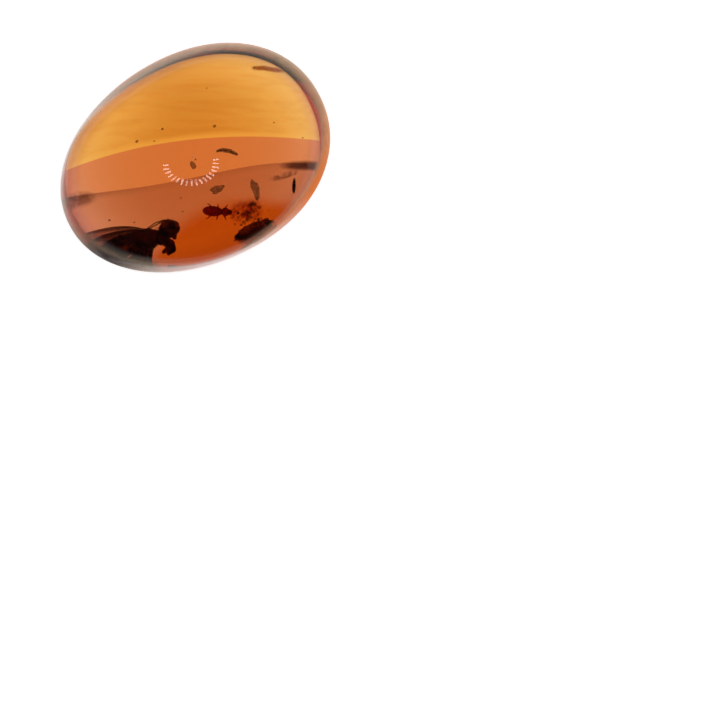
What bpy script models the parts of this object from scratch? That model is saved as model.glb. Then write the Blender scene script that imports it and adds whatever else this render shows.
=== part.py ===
"""Insect in amber: an oval polished stone of clear amber with a small winged insect inside it.

The stone has a low dome, a steep wall that leans in above a low girdle, a narrow bevel and a flat
underside.  It is parted level through its middle, so that the insect, a beetle, a crumb of bark,
two flakes of dust and two threads of plant fibre each lie in a pocket of their own.

Frame: +X along the stone's length, +Y across it, +Z up, origin at the middle of the flat underside.
"""
from math import cos, pi, radians, sin

import bmesh
import bpy
import numpy as np
from mathutils import Matrix, Vector

MM = 0.001

# The stone
LENGTH = 15.75 * MM
WIDTH = 11.7 * MM
HEIGHT = 4.9 * MM
OVAL_POWER = 2.07          # 2 is a true ellipse, more is squarer
OVAL_EGG = (0.012, 0.001)  # how far the oval leans towards an egg, along its length and across it
DOME_RADIUS = 15.0 * MM    # of the ball that the top is ground to
GIRDLE_HEIGHT = 0.75 * MM  # the least height at which the stone is widest
CORE_HEIGHT = 1.6 * MM     # of the point that the surface is measured from
# These four-part sizes are at the right end, far side, left end and near side
WALL_LEAN = (0.40, 0.42, 0.36, 0.08)   # inwards for each step up, above the widest ring
BEVEL_LEAN = (0.50, 0.40, 0.50, 0.20)  # inwards for each step down, below it
EDGE_CRISPNESS = (22, 22, 32, 28)
BASE_RISE = (2.00 * MM, 2.05 * MM, 1.70 * MM, 0.40 * MM)
RISE_POWER = 4             # 2 would be evenly round, more is flatter in the middle
FLAT_SHARE = 0.45          # of the way to the outline, up to where the underside is flat
# Rise and lean are least round one corner: its direction, the spread of that and the share they lose
FLAT_CORNER = (radians(135.0), radians(28.0), 0.6)
FLAT_DEPTH = 0.003 * MM    # ground off below, which leaves the middle truly flat
COLUMNS = 72
ROWS = 27
LOWEST_ROW = -0.80         # as a share of the way down to straight below the core

# The parting and the pockets
PARTING_HEIGHT = 2.05 * MM
CLEARANCE = 0.30 * MM      # between the halves, and round each piece in its pocket
BLOCK_SIZE = 30.0 * MM

# The insect, lying on its side: forward is towards its head, up its back is across the stone
THORAX = Vector((-4.06, -2.60, 2.08)) * MM
HEADING = radians(-9.0)
PITCH = radians(2.0)       # its tail lies a little higher in the stone than its head
THORAX_RADII = (0.86 * MM, 0.60 * MM, 0.54 * MM)
HEAD_CENTRE = (1.22 * MM, 0.14 * MM, 0.0)
HEAD_RADII = (0.56 * MM, 0.50 * MM, 0.44 * MM)
EYE_RADIUS = 0.20 * MM
ABDOMEN_START = -0.40 * MM
ABDOMEN_LENGTH = 2.30 * MM
ABDOMEN_RADIUS = 0.58 * MM
ABDOMEN_SEGMENTS = 6
WING_LENGTH = 2.85 * MM
WING_WIDTH = 0.90 * MM
WING_THICKNESS = 0.10 * MM
WING_RAISED = radians(15.0)
FEELER_RADIUS = 0.035 * MM
# Hip, knee, ankle and toe of each pair of legs, as forward, up and sideways, and the hip's thickness
LEGS = {
    "fore": (((0.50, -0.28, 0.20), (0.98, -0.54, 0.30),
              (0.94, -0.92, 0.26), (0.58, -1.04, 0.22)), 0.26),
    "middle": (((-0.24, -0.36, 0.24), (-0.32, -0.80, 0.34),
                (-0.50, -1.08, 0.30), (-0.76, -1.24, 0.24)), 0.20),
    "hind": (((-0.62, -0.36, 0.22), (-1.02, -0.76, 0.40),
              (-1.48, -0.84, 0.38), (-1.90, -0.68, 0.30)), 0.20),
}
LEG_TAPER = (1.0, 1.15, 0.75, 0.5)

# The smaller pieces, each with the middle of its pocket at the parting
BEETLE_CENTRE = Vector((-0.17, -3.02, 2.08)) * MM
BEETLE_LENGTH = 1.55 * MM
BEETLE_WIDTH = 0.56 * MM
BEETLE_DEPTH = 0.42 * MM
BEETLE_HEADING = radians(-32.0)
CRUMB_CENTRE = Vector((1.11, -4.70, 2.40)) * MM
CRUMB_SIZE = (1.00 * MM, 0.23 * MM, 0.38 * MM)
FLAKES = {
    "flake_middle": {"centre": (0.37, -1.98, 2.10), "size": (0.38, 0.20, 0.11), "turn": -8.0},
    "flake_right": {"centre": (2.15, -2.94, 2.10), "size": (0.20, 0.56, 0.12), "turn": -10.0},
}
THREADS = {
    "thread_bent": {"points": ((1.26, -0.20), (1.55, -0.27), (1.89, -0.52), (2.16, -0.88)),
                    "radius": 0.095, "rise": 0.10},
    "thread_short": {"points": ((4.26, -3.42), (4.13, -3.66), (4.01, -3.86), (3.89, -4.02)),
                     "radius": 0.075, "rise": 0.08},
}

COLOURS = {
    "amber": {"colour": (0.78, 0.33, 0.06), "roughness": 0.04, "alpha": 0.45},
    "chitin": {"colour": (0.035, 0.012, 0.006), "roughness": 0.35},
    "elytra": {"colour": (0.13, 0.018, 0.006), "roughness": 0.15},
    "bark": {"colour": (0.07, 0.018, 0.006), "roughness": 0.75},
    "dust": {"colour": (0.20, 0.13, 0.10), "roughness": 0.85},
}


def clear_scene():
    """Take away whatever the scene holds."""
    for obj in list(bpy.data.objects):
        bpy.data.objects.remove(obj, do_unlink=True)


def make_material(name):
    """A plain finish from the COLOURS table."""
    finish = COLOURS[name]
    alpha = finish.get("alpha", 1.0)
    mat = bpy.data.materials.new(name)
    mat.use_nodes = True
    mat.diffuse_color = (*finish["colour"], alpha)
    shader = mat.node_tree.nodes["Principled BSDF"]
    shader.inputs["Base Color"].default_value = (*finish["colour"], 1.0)
    shader.inputs["Roughness"].default_value = finish["roughness"]
    shader.inputs["Metallic"].default_value = 0.0
    shader.inputs["Alpha"].default_value = alpha
    return mat


def add_object(name, mesh, mat=None):
    """Link a mesh to the scene as a named object."""
    obj = bpy.data.objects.new(name, mesh)
    bpy.context.scene.collection.objects.link(obj)
    if mat:
        mesh.materials.append(mat)
    return obj


def loft(name, rings, poles):
    """A closed surface through rings of points, from the first pole to the last."""
    count, around = rings.shape[:2]
    points = np.concatenate([rings.reshape(-1, 3), np.asarray(poles, dtype=float).reshape(2, 3)])
    here = np.arange(around)
    following = (here + 1) % around
    row = np.arange(count - 1)[:, None] * around
    faces = np.stack([row + here, row + around + here, row + around + following, row + following], -1)
    faces = faces.reshape(-1, 4).tolist()
    first, last = count * around, count * around + 1
    end = (count - 1) * around
    faces += [(first, int(a), int(b)) for a, b in zip(here, following)]
    faces += [(last, int(end + b), int(end + a)) for a, b in zip(here, following)]
    mesh = bpy.data.meshes.new(name)
    mesh.from_pydata(points.tolist(), [], faces)
    model = bmesh.new()
    model.from_mesh(mesh)
    bmesh.ops.recalc_face_normals(model, faces=model.faces)
    model.to_mesh(mesh)
    model.free()
    return mesh


def by_direction(turn, sizes):
    """A size that passes smoothly through the four given at 0, 90, 180 and 270 degrees."""
    right, far, left, near = sizes
    across, along = np.sin(turn), np.cos(turn)
    return (right * np.clip(along, 0, 1) ** 2 + left * np.clip(-along, 0, 1) ** 2
            + far * np.clip(across, 0, 1) ** 2 + near * np.clip(-across, 0, 1) ** 2)


def oval(turn):
    """The stone's outline: a slightly squared ellipse that leans towards an egg."""
    reach = (np.abs(np.cos(turn)) ** OVAL_POWER + np.abs(np.sin(turn)) ** OVAL_POWER) ** (-1 / OVAL_POWER)
    reach = reach * (1 - OVAL_EGG[0] * np.cos(3 * turn) - OVAL_EGG[1] * np.sin(3 * turn))
    return LENGTH / 2 * np.cos(turn) * reach, WIDTH / 2 * np.sin(turn) * reach


def less_at_corner(turn):
    """1 all round but less at the far left, where the stone's edge is fuller."""
    middle, spread, less = FLAT_CORNER
    return 1 - less * np.exp(-((turn - middle) / spread) ** 2)


def underside(turn, across):
    """Height of the underside at a share of the way to the outline: a power of it, less the flat."""
    rise = by_direction(turn, BASE_RISE) * less_at_corner(turn)
    return rise * np.clip(across ** RISE_POWER - FLAT_SHARE ** RISE_POWER, 0, None)


def stone_rings():
    """Points of the stone's surface: the soft least of four distances from its core.

    In each direction the dome, the wall, the bevel and the underside lie at four distances.  The
    surface is where the sum of their inverse powers gives it, so the edges between them are round,
    and crisper where the power is higher.  The underside rises from its flat middle towards the
    outline, and where it comes above the least height the stone is widest where it meets the wall.
    """
    turn = np.linspace(0, 2 * pi, COLUMNS, endpoint=False)[None, :]
    share = np.linspace(1, LOWEST_ROW, ROWS + 1)[1:, None]
    climb = np.sign(share) * np.abs(share) ** 2.2 * pi / 2
    x_out, y_out = oval(turn)
    reach = np.hypot(x_out, y_out)
    out, up = np.cos(climb), np.sin(climb)
    power = by_direction(turn, EDGE_CRISPNESS)
    curve = out ** 2 / (2 * DOME_RADIUS)
    dome = (np.sqrt(up ** 2 + 4 * curve * (HEIGHT - CORE_HEIGHT)) - up) / (2 * curve)
    lean = by_direction(turn, WALL_LEAN) * less_at_corner(turn)
    cut = by_direction(turn, BEVEL_LEAN)
    above = CORE_HEIGHT - np.maximum(GIRDLE_HEIGHT, underside(turn, 1.0))
    per_wall = np.clip((out + lean * up) / (reach - lean * above), 0, None)
    per_bevel = np.clip((out - cut * up) / (reach + cut * above), 0, None)
    per_base = np.clip(-up / CORE_HEIGHT, 0, None)
    total = sum((MM * inverse) ** power for inverse in (1 / dome, per_wall, per_bevel, per_base))
    distance = MM * total ** (-1 / power)
    across = distance * out / reach
    x, y = across * x_out, across * y_out
    z = np.maximum(CORE_HEIGHT + distance * up - FLAT_DEPTH, underside(turn, across))
    x = (x - (x.max() + x.min()) / 2) * LENGTH / np.ptp(x)
    y = (y - (y.max() + y.min()) / 2) * WIDTH / np.ptp(y)
    return np.stack([x, y, z], -1)


def place(centre, heading, pitch=0.0):
    """The matrix that takes a piece's own forward, across and upward to the stone's frame."""
    return Matrix.Translation(centre) @ Matrix.Rotation(heading, 4, "Z") @ Matrix.Rotation(pitch, 4, "Y")


def ellipsoid(name, frame, centre, radii, columns=16, rows=10):
    """A closed ellipsoid with its poles forward and back, in a piece's own frame."""
    turn = np.linspace(0, 2 * pi, columns, endpoint=False)[None, :]
    tilt = np.linspace(0, pi, rows + 1)[1:-1, None]
    ring = np.stack([radii[0] * np.cos(tilt) + 0 * turn, radii[1] * np.sin(tilt) * np.cos(turn),
                     radii[2] * np.sin(tilt) * np.sin(turn)], -1) + np.array(centre)
    poles = [(centre[0] + radii[0], centre[1], centre[2]), (centre[0] - radii[0], centre[1], centre[2])]
    mesh = loft(name, ring, poles)
    mesh.transform(frame)
    return add_object(name, mesh)


def limb(name, frame, points, radii, sides=6):
    """A closed tapering tube through a few points, with blunt round ends."""
    path = [Vector(p) for p in points]
    rings = []
    for i, here in enumerate(path):
        ahead = (path[min(i + 1, len(path) - 1)] - path[max(i - 1, 0)]).normalized()
        side = ahead.cross(Vector((0, 0, 1)))
        side = side.normalized() if side.length > 0.01 else Vector((1, 0, 0))
        rise = side.cross(ahead)
        rings.append([here + radii[i] * (side * cos(2 * pi * k / sides) + rise * sin(2 * pi * k / sides))
                      for k in range(sides)])
    start = path[0] - (path[1] - path[0]).normalized() * radii[0] * 0.6
    finish = path[-1] + (path[-1] - path[-2]).normalized() * radii[-1] * 0.6
    mesh = loft(name, np.array(rings), [start, finish])
    mesh.transform(frame)
    return add_object(name, mesh)


def smooth_path(points, count):
    """Evenly read points of one smooth curve through a few given ones."""
    given = np.array(points, dtype=float)
    known = np.linspace(0, 1, len(given))
    wanted = np.linspace(0, 1, count)
    fit = [np.polyfit(known, given[:, axis], len(given) - 1) for axis in range(given.shape[1])]
    return np.stack([np.polyval(f, wanted) for f in fit], -1)


def fuse(name, parts, mat):
    """Join overlapping closed parts into one closed body, and take the parts away."""
    body = parts[0]
    for part in parts[1:]:
        join = body.modifiers.new("fuse_" + part.name, "BOOLEAN")
        join.operation = "UNION"
        join.solver = "EXACT"
        join.object = part
        part.hide_render = True
        part.display_type = "WIRE"
    bpy.context.view_layer.update()
    seen = body.evaluated_get(bpy.context.evaluated_depsgraph_get())
    mesh = bpy.data.meshes.new_from_object(seen)
    mesh.materials.clear()
    for part in parts:
        bpy.data.objects.remove(part, do_unlink=True)
    obj = add_object(name, mesh, mat)
    mesh.name = name
    mesh.shade_smooth()
    mesh.set_sharp_from_angle(angle=radians(50))
    return obj


def wing(name, frame, side):
    """One folded wing: a thin blade, narrow at its root and widest past its middle."""
    rows, around = 11, 8
    share = np.linspace(0.0, 1.0, rows)[:, None]
    turn = np.linspace(0, 2 * pi, around, endpoint=False)[None, :]
    half = WING_WIDTH / 2 * (0.16 + 0.84 * np.sin(pi * share ** 0.75 * 0.93) ** 0.8)
    forward = -share * WING_LENGTH + 0 * turn
    chord = half * np.cos(turn) - 0.25 * WING_WIDTH * share
    thick = WING_THICKNESS / 2 * np.sin(turn) + 0.10 * MM * np.sin(pi * share)
    blade = loft(name, np.stack([forward, chord, thick], -1),
                 [(0.06 * MM, 0, 0), (-WING_LENGTH - 0.05 * MM, -0.25 * WING_WIDTH, 0)])
    lift = Matrix.Rotation(-WING_RAISED - side * radians(3.0), 4, "Z")
    spread = Matrix.Rotation(side * radians(4.0), 4, "Y")
    root = Matrix.Translation((-0.05 * MM, 0.32 * MM, side * 0.26 * MM))
    blade.transform(frame @ root @ lift @ spread)
    return add_object(name, blade)


def abdomen(name, frame):
    """The hind body: rings that swell and step in again, tapering to its tip."""
    steps = ABDOMEN_SEGMENTS * 2 + 1
    around = 14
    share = np.linspace(0.0, 0.96, steps)[:, None]
    turn = np.linspace(0, 2 * pi, around, endpoint=False)[None, :]
    taper = ABDOMEN_RADIUS * np.sqrt(np.clip(1 - (share - 0.25) ** 2 / 0.62, 0.03, 1))
    swell = np.where(np.arange(steps)[:, None] % 2 == 1, 1.04, 0.96)
    radius = taper * swell
    rise = 0.20 * MM * share ** 2
    ring = np.stack([ABDOMEN_START - share * ABDOMEN_LENGTH + 0 * turn, rise + radius * np.cos(turn),
                     0.88 * radius * np.sin(turn)], -1)
    mesh = loft(name, ring, [(ABDOMEN_START + 0.1 * MM, 0, 0),
                             (ABDOMEN_START - ABDOMEN_LENGTH, 0.20 * MM, 0)])
    mesh.transform(frame)
    return add_object(name, mesh)


def leg(name, frame, side, joints, thickness):
    """One leg through its hip, knee, ankle and toe; the two of a pair are a little apart."""
    points = [((f - 0.06 * side) * MM, (u + 0.03 * side) * MM, side * s * MM) for f, u, s in joints]
    return limb(name, frame, points, [thickness * taper * MM for taper in LEG_TAPER])


def feeler(name, frame, side):
    """One feeler, swept back over the head to the thorax."""
    path = smooth_path(((1.50, 0.40, 0.10 * side), (1.14, 0.78, 0.20 * side),
                        (0.64, 0.88, 0.26 * side), (0.16, 0.74, 0.34 * side)), 8) * MM
    return limb(name, frame, path.tolist(), [FEELER_RADIUS] * len(path), 5)


def make_insect(mat):
    """Head, eyes, thorax, abdomen, wings, legs and feelers, grown together as one body."""
    frame = place(THORAX, HEADING, PITCH)
    forward, up, _ = HEAD_CENTRE
    parts = [ellipsoid("thorax", frame, (0, 0.02 * MM, 0), THORAX_RADII)]
    parts.append(ellipsoid("neck", frame, (0.78 * MM, 0, 0), (0.34 * MM, 0.25 * MM, 0.24 * MM), 10, 6))
    parts.append(ellipsoid("head", frame, HEAD_CENTRE, HEAD_RADII))
    parts.append(limb("mouth", frame, ((forward + 0.12 * MM, up - 0.30 * MM, 0),
                                       (forward + 0.10 * MM, up - 0.62 * MM, 0)), (0.20 * MM, 0.09 * MM)))
    parts.append(abdomen("abdomen", frame))
    for side, hand in ((1, "left"), (-1, "right")):
        parts.append(ellipsoid(f"eye_{hand}", frame, (forward + 0.16 * MM, up + 0.08 * MM, side * 0.31 * MM),
                               (EYE_RADIUS, EYE_RADIUS * 1.2, EYE_RADIUS), 10, 6))
        parts.append(wing(f"wing_{hand}", frame, side))
        parts.append(feeler(f"feeler_{hand}", frame, side))
        for pair, (joints, thickness) in LEGS.items():
            parts.append(leg(f"leg_{pair}_{hand}", frame, side, joints, thickness))
    return fuse("insect", parts, mat)


def make_beetle(mat):
    """Wing cases, neck shield, head, legs and feelers of the small beetle, as one body."""
    frame = place(BEETLE_CENTRE, BEETLE_HEADING)
    half = (BEETLE_LENGTH * 0.35, BEETLE_WIDTH / 2, BEETLE_DEPTH / 2)
    shield = BEETLE_LENGTH * 0.30
    parts = [ellipsoid("cases", frame, (-BEETLE_LENGTH * 0.15, 0, 0), half, 14, 10)]
    parts.append(ellipsoid("shield", frame, (shield * 0.92, 0, 0),
                           (BEETLE_LENGTH * 0.14, half[1] * 0.86, half[2] * 0.84), 12, 8))
    parts.append(ellipsoid("face", frame, (shield * 1.42, 0, -0.02 * MM),
                           (BEETLE_LENGTH * 0.085, half[1] * 0.52, half[2] * 0.55), 10, 6))
    for side, hand in ((1, "left"), (-1, "right")):
        for number, forward in enumerate((0.36, 0.02, -0.32)):
            sweep = 0.16 * (1 - number)
            joints = [(forward * MM, side * 0.16 * MM, -0.12 * MM),
                      ((forward + sweep * 0.6) * MM, side * 0.33 * MM, -0.14 * MM),
                      ((forward + sweep * 1.2 - 0.05) * MM, side * 0.41 * MM, -0.24 * MM)]
            parts.append(limb(f"foot_{number}_{hand}", frame, joints,
                              (0.05 * MM, 0.045 * MM, 0.03 * MM), 5))
    return fuse("beetle", parts, mat)


def make_crumb(mat):
    """The crumb of bark: a long lump whose surface runs in ridges and hollows."""
    columns, rows = 22, 14
    turn = np.linspace(0, 2 * pi, columns, endpoint=False)[None, :]
    tilt = np.linspace(0, pi, rows + 1)[1:-1, None]
    rough = (1 + 0.10 * np.sin(3 * turn + 4 * tilt) + 0.08 * np.sin(5 * turn - 7 * tilt)
             + 0.07 * np.cos(9 * tilt + 2 * turn))
    ring = np.stack([CRUMB_SIZE[0] * np.cos(tilt) * (1 + 0.04 * np.sin(4 * turn)),
                     CRUMB_SIZE[1] * np.sin(tilt) * np.cos(turn) * rough,
                     CRUMB_SIZE[2] * np.sin(tilt) * np.sin(turn) * rough], -1)
    mesh = loft("bark_crumb", ring, [(CRUMB_SIZE[0], 0, 0), (-CRUMB_SIZE[0], 0, 0)])
    mesh.transform(place(CRUMB_CENTRE, radians(-2.0)))
    mesh.shade_smooth()
    return add_object("bark_crumb", mesh, mat)


def make_flake(name, spec, mat):
    """A flake of dust: a flat pad with a ragged edge."""
    columns, rows = 14, 8
    turn = np.linspace(0, 2 * pi, columns, endpoint=False)[None, :]
    tilt = np.linspace(0, pi, rows + 1)[1:-1, None]
    ragged = 1 + 0.12 * np.sin(3 * turn + 1) + 0.08 * np.sin(5 * turn)
    long, wide, thick = (s * MM for s in spec["size"])
    ring = np.stack([long * np.sin(tilt) * np.cos(turn) * ragged, wide * np.sin(tilt) * np.sin(turn) * ragged,
                     thick * np.cos(tilt) + 0 * turn], -1)
    mesh = loft(name, ring, [(0, 0, thick), (0, 0, -thick)])
    mesh.transform(place(Vector(spec["centre"]) * MM, radians(spec["turn"])))
    mesh.shade_smooth()
    return add_object(name, mesh, mat)


def make_thread(name, spec, mat):
    """A thread of plant fibre, thickest in its middle and a little arched."""
    count = 9
    flat = smooth_path(spec["points"], count)
    share = np.linspace(0, 1, count)
    height = PARTING_HEIGHT + spec["rise"] * MM * np.sin(pi * share)
    points = [(x * MM, y * MM, z) for (x, y), z in zip(flat, height)]
    radii = [spec["radius"] * MM * (0.45 + 0.55 * sin(pi * s) ** 0.6) for s in share]
    thread = limb(name, Matrix.Identity(4), points, radii)
    thread.data.materials.append(mat)
    thread.data.shade_smooth()
    return thread


def make_pocket(piece):
    """The smooth hollow that a piece lies in: its own hull, grown by the clearance all round."""
    ball = bmesh.new()
    bmesh.ops.create_icosphere(ball, subdivisions=1, radius=CLEARANCE * 1.06)
    grow = [v.co.copy() for v in ball.verts]
    ball.free()
    hull = bmesh.new()
    for vertex in piece.data.vertices:
        hull.verts.new(vertex.co)
    core = bmesh.ops.convex_hull(hull, input=hull.verts)
    corners = [v.co.copy() for v in hull.verts if v.link_faces]
    hull.free()
    shell = bmesh.new()
    for corner in corners:
        for step in grow:
            shell.verts.new(corner + step)
    bmesh.ops.convex_hull(shell, input=shell.verts)
    bmesh.ops.delete(shell, geom=[v for v in shell.verts if not v.link_faces], context="VERTS")
    bmesh.ops.dissolve_limit(shell, angle_limit=radians(9.0), verts=shell.verts, edges=shell.edges)
    bmesh.ops.triangulate(shell, faces=shell.faces)
    bmesh.ops.recalc_face_normals(shell, faces=shell.faces)
    mesh = bpy.data.meshes.new("pocket_" + piece.name)
    shell.to_mesh(mesh)
    shell.free()
    pocket = add_object(mesh.name, mesh)
    pocket.hide_render = True
    pocket.display_type = "WIRE"
    return pocket


def make_block(name, middle_height):
    """A block that takes away everything on one side of the parting."""
    mesh = bpy.data.meshes.new(name)
    model = bmesh.new()
    bmesh.ops.create_cube(model, size=BLOCK_SIZE)
    model.to_mesh(mesh)
    model.free()
    block = add_object(name, mesh)
    block.location.z = middle_height
    block.hide_render = True
    block.display_type = "WIRE"
    return block


def make_half(name, block, pockets, mat):
    """One half of the stone, with its share of every pocket cut into the parting."""
    rings = stone_rings()
    half = add_object(name, loft(name, rings, [(0, 0, HEIGHT), (0, 0, 0)]), mat)
    for cutter in [block] + pockets:
        cut = half.modifiers.new("cut_" + cutter.name, "BOOLEAN")
        cut.operation = "DIFFERENCE"
        cut.solver = "EXACT"
        cut.object = cutter
    half.data.shade_smooth()
    return half


def main():
    """Build every piece of the stone."""
    clear_scene()
    mats = {name: make_material(name) for name in COLOURS}
    inside = [make_insect(mats["chitin"]), make_beetle(mats["elytra"]), make_crumb(mats["bark"])]
    inside += [make_flake(name, spec, mats["dust"]) for name, spec in FLAKES.items()]
    inside += [make_thread(name, spec, mats["dust"]) for name, spec in THREADS.items()]
    pockets = [make_pocket(piece) for piece in inside]
    reach = BLOCK_SIZE / 2 - CLEARANCE / 2
    below = make_block("block_below", PARTING_HEIGHT - reach)
    above = make_block("block_above", PARTING_HEIGHT + reach)
    make_half("amber_upper", below, pockets, mats["amber"])
    make_half("amber_lower", above, pockets, mats["amber"])


main()
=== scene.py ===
"""Looks of the insect in amber: a clear polished stone with an insect and small debris sealed in it.

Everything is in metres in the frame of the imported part: +X along the stone, +Y across it, +Z up,
with the origin at the middle of the underside, which is flat there.
"""
from math import cos, pi, radians, sin

import bmesh
import bpy
import numpy as np
from mathutils import Matrix, Vector


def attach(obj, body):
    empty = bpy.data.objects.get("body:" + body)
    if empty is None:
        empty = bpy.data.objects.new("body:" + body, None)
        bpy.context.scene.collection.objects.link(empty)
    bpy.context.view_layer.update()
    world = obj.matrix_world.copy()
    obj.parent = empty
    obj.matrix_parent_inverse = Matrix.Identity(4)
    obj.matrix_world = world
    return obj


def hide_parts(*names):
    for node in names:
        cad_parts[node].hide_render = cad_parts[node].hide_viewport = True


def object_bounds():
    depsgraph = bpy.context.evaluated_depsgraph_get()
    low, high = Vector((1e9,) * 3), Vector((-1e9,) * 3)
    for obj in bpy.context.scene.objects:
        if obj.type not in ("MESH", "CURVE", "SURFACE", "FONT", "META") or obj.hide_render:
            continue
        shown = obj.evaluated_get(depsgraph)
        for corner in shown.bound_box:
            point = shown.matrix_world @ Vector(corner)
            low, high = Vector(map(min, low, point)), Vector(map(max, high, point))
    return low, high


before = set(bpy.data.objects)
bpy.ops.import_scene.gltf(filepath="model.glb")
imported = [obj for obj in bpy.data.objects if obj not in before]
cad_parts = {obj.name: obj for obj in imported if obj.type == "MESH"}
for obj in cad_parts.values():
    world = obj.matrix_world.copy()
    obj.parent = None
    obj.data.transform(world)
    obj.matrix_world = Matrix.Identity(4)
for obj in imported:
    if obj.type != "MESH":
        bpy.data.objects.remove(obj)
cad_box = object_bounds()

MM = 0.001

# The stone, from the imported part's box and the same few sizes as its solids.  Four numbers together
# are always for the right, far, left and near side.
LOW, HIGH = (np.array(corner, dtype=float) for corner in cad_box)
LENGTH, WIDTH, HEIGHT = HIGH - LOW
OVAL_POWER = 2.07
OVAL_EGG = (0.012, 0.001)
DOME_RADIUS = 15.0 * MM
GIRDLE_HEIGHT = 0.75 * MM
CORE_HEIGHT = 1.6 * MM
WALL_LEAN = (0.40, 0.42, 0.36, 0.08)
BEVEL_LEAN = (0.50, 0.40, 0.50, 0.20)
EDGE_CRISPNESS = (22, 22, 32, 28)
FLAT_DEPTH = 0.003 * MM
BASE_RISE = (2.00 * MM, 2.05 * MM, 1.70 * MM, 0.40 * MM)
RISE_POWER = 4
FLAT_SHARE = 0.45
FLAT_CORNER = (radians(135.0), radians(28.0), 0.6)
STONE_COLUMNS = 360
STONE_ROWS = 260

# How far under the skin the joints between the flows go
DEEPEST = 0.25 * MM
SHALLOWEST = 0.04 * MM

# What a millimetre of the amber lets through
AMBER = (0.982, 0.795, 0.36)
AMBER_INDEX = 1.54

# The rim: blush reddens the glass, and a thin matt layer of painted colour lies on it, which stands in for
# the rim's reflection and shade, with a patch of painted shade at the near left and a patch of painted
# orange glow at the near right.  Each fades out over its width, inwards from the rim.
PAINTED_RIM = (0.92, 0.60, 0.36)
PAINTED_RIM_COVER = (0.56, 0.44, 0.12, 0.00)
PAINTED_RIM_WIDTH = 0.80 * MM
BLUSH = (0.55, 0.30, 0.30)
BLUSH_SHARE = (0.85, 0.85, 1.00, 0.45)
BLUSH_WIDTH = 1.50 * MM
PAINTED_SHADE = (0.060, 0.040, 0.036)
PAINTED_SHADE_COVER, PAINTED_SHADE_WIDTH = 0.75, 0.85 * MM
PAINTED_SHADE_TURN, PAINTED_SHADE_SPREAD = radians(207), radians(26)
PAINTED_GLOW = (0.98, 0.25, 0.05)
PAINTED_GLOW_COVER, PAINTED_GLOW_WIDTH = 0.75, 0.60 * MM
PAINTED_GLOW_TURN, PAINTED_GLOW_SPREAD = radians(309), radians(37)
PAINTED_RIM_MOTTLE = (0.55, 0.9)    # the least share of the painted rim colour's cover, and what the mottling adds
PAINTED_RIM_MOST = 0.95

# The insect lies on its side: its own forward, up its back and sideways
THORAX = Vector((-4.06, -2.60, 2.08)) * MM
HEADING = radians(-9.0)
PITCH = radians(2.0)
LEGS = {
    "fore": (((0.50, -0.28, 0.20), (0.98, -0.54, 0.30),
              (0.94, -0.92, 0.26), (0.58, -1.04, 0.22)), 0.26),
    "middle": (((-0.24, -0.36, 0.24), (-0.32, -0.80, 0.34),
                (-0.50, -1.08, 0.30), (-0.76, -1.24, 0.24)), 0.20),
    "hind": (((-0.62, -0.36, 0.22), (-1.02, -0.76, 0.40),
              (-1.48, -0.84, 0.38), (-1.90, -0.68, 0.30)), 0.20),
}

# Centre and half sizes of its main balls, in millimetres forward, up and sideways
THORAX_BALL = ((-0.08, -0.05, 0.0), (0.78, 0.57, 0.52))
NECK_BALL = ((0.78, 0.0, 0.0), (0.34, 0.25, 0.24))
HEAD_BALL = ((1.22, 0.14, 0.0), (0.56, 0.50, 0.44))
EYE_RADII = (0.20, 0.24, 0.20)
MOUTH = ((1.34, -0.16, 0), (1.33, -0.32, 0), (1.32, -0.48, 0))
WING_LENGTH = 3.50 * MM
WING_HALF_WIDTH = 0.42 * MM
WING_ROOT = (-0.05, 0.32, 0.26)
WING_SPREAD = radians(3.0)
BRISTLES = 110
BRISTLE_LENGTH = 0.16 * MM
GOLDEN_ANGLE = 2.39996

# Where the smaller things lie, and how far each is turned
BEETLE_PLACE, BEETLE_TURN = (-0.17, -3.02, 2.08), radians(-32.0)
CRUMB_PLACE, CRUMB_TURN = (1.08, -4.80, 2.40), radians(-2.0)
THREAD_HEIGHT = 2.05 * MM
GRAINS = 60
GRAIN_MARGIN = 0.12 * MM
SPECKS = ((-2.24, 2.21, 3.2, 0.085), (-0.71, 2.16, 3.3, 0.070), (1.83, 0.99, 3.3, 0.085),
          (-5.56, -0.83, 2.6, 0.070), (-1.40, 1.78, 3.2, 0.045), (2.40, 3.00, 2.9, 0.040),
          (4.76, -0.30, 2.9, 0.045), (5.75, -1.72, 2.4, 0.045), (-4.40, -1.55, 2.7, 0.045),
          (-1.55, -1.55, 2.9, 0.040), (-1.80, -2.24, 2.8, 0.040), (-0.16, -0.34, 3.2, 0.130),
          (5.20, 2.84, 2.6, 0.060))

# The camera looks straight down on the stone from a hand's breadth and a half above it
VIEW_TURN = radians(27.7)
CAMERA_HEIGHT = 251.0 * MM
CAMERA_PLACE = (2.861 * MM, -13.74 * MM)
PICTURE_WIDTH = 39.64 * MM    # what the frame spans 1 mm above the floor
SENSOR = 36.0

# The tent: bright low down, dark overhead, with heights as the sine of the angle above the floor
SKY = 0.9
SKY_NEAR = 0.55
NEAR_FROM, NEAR_TO = -0.35, 0.30
FLOOR_GLOW = 0.86
FLOOR_HALF = 500 * MM
FLOOR_DROP = 0.03 * MM
SKY_WHITE_TO = 0.50
SKY_DARK_FROM = 0.62
SKY_TOP = 0.02

# The lamps stand on an oval round the lens; the arc that is lit is given in degrees
LAMPS = 18
LAMPS_WIDE, LAMPS_DEEP = 42 * MM, 33 * MM
LAMPS_HEIGHT = 225 * MM
LAMPS_LEFT, LAMPS_NEAR = 14 * MM, 2 * MM
ARC_FROM, ARC_LENGTH = 186, 184
LAMP_WIDTH, LAMP_LENGTH = 2.4 * MM, 10 * MM
LAMP_POWER = 0.00050


# ---------------------------------------------------------------- shader trees

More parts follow.
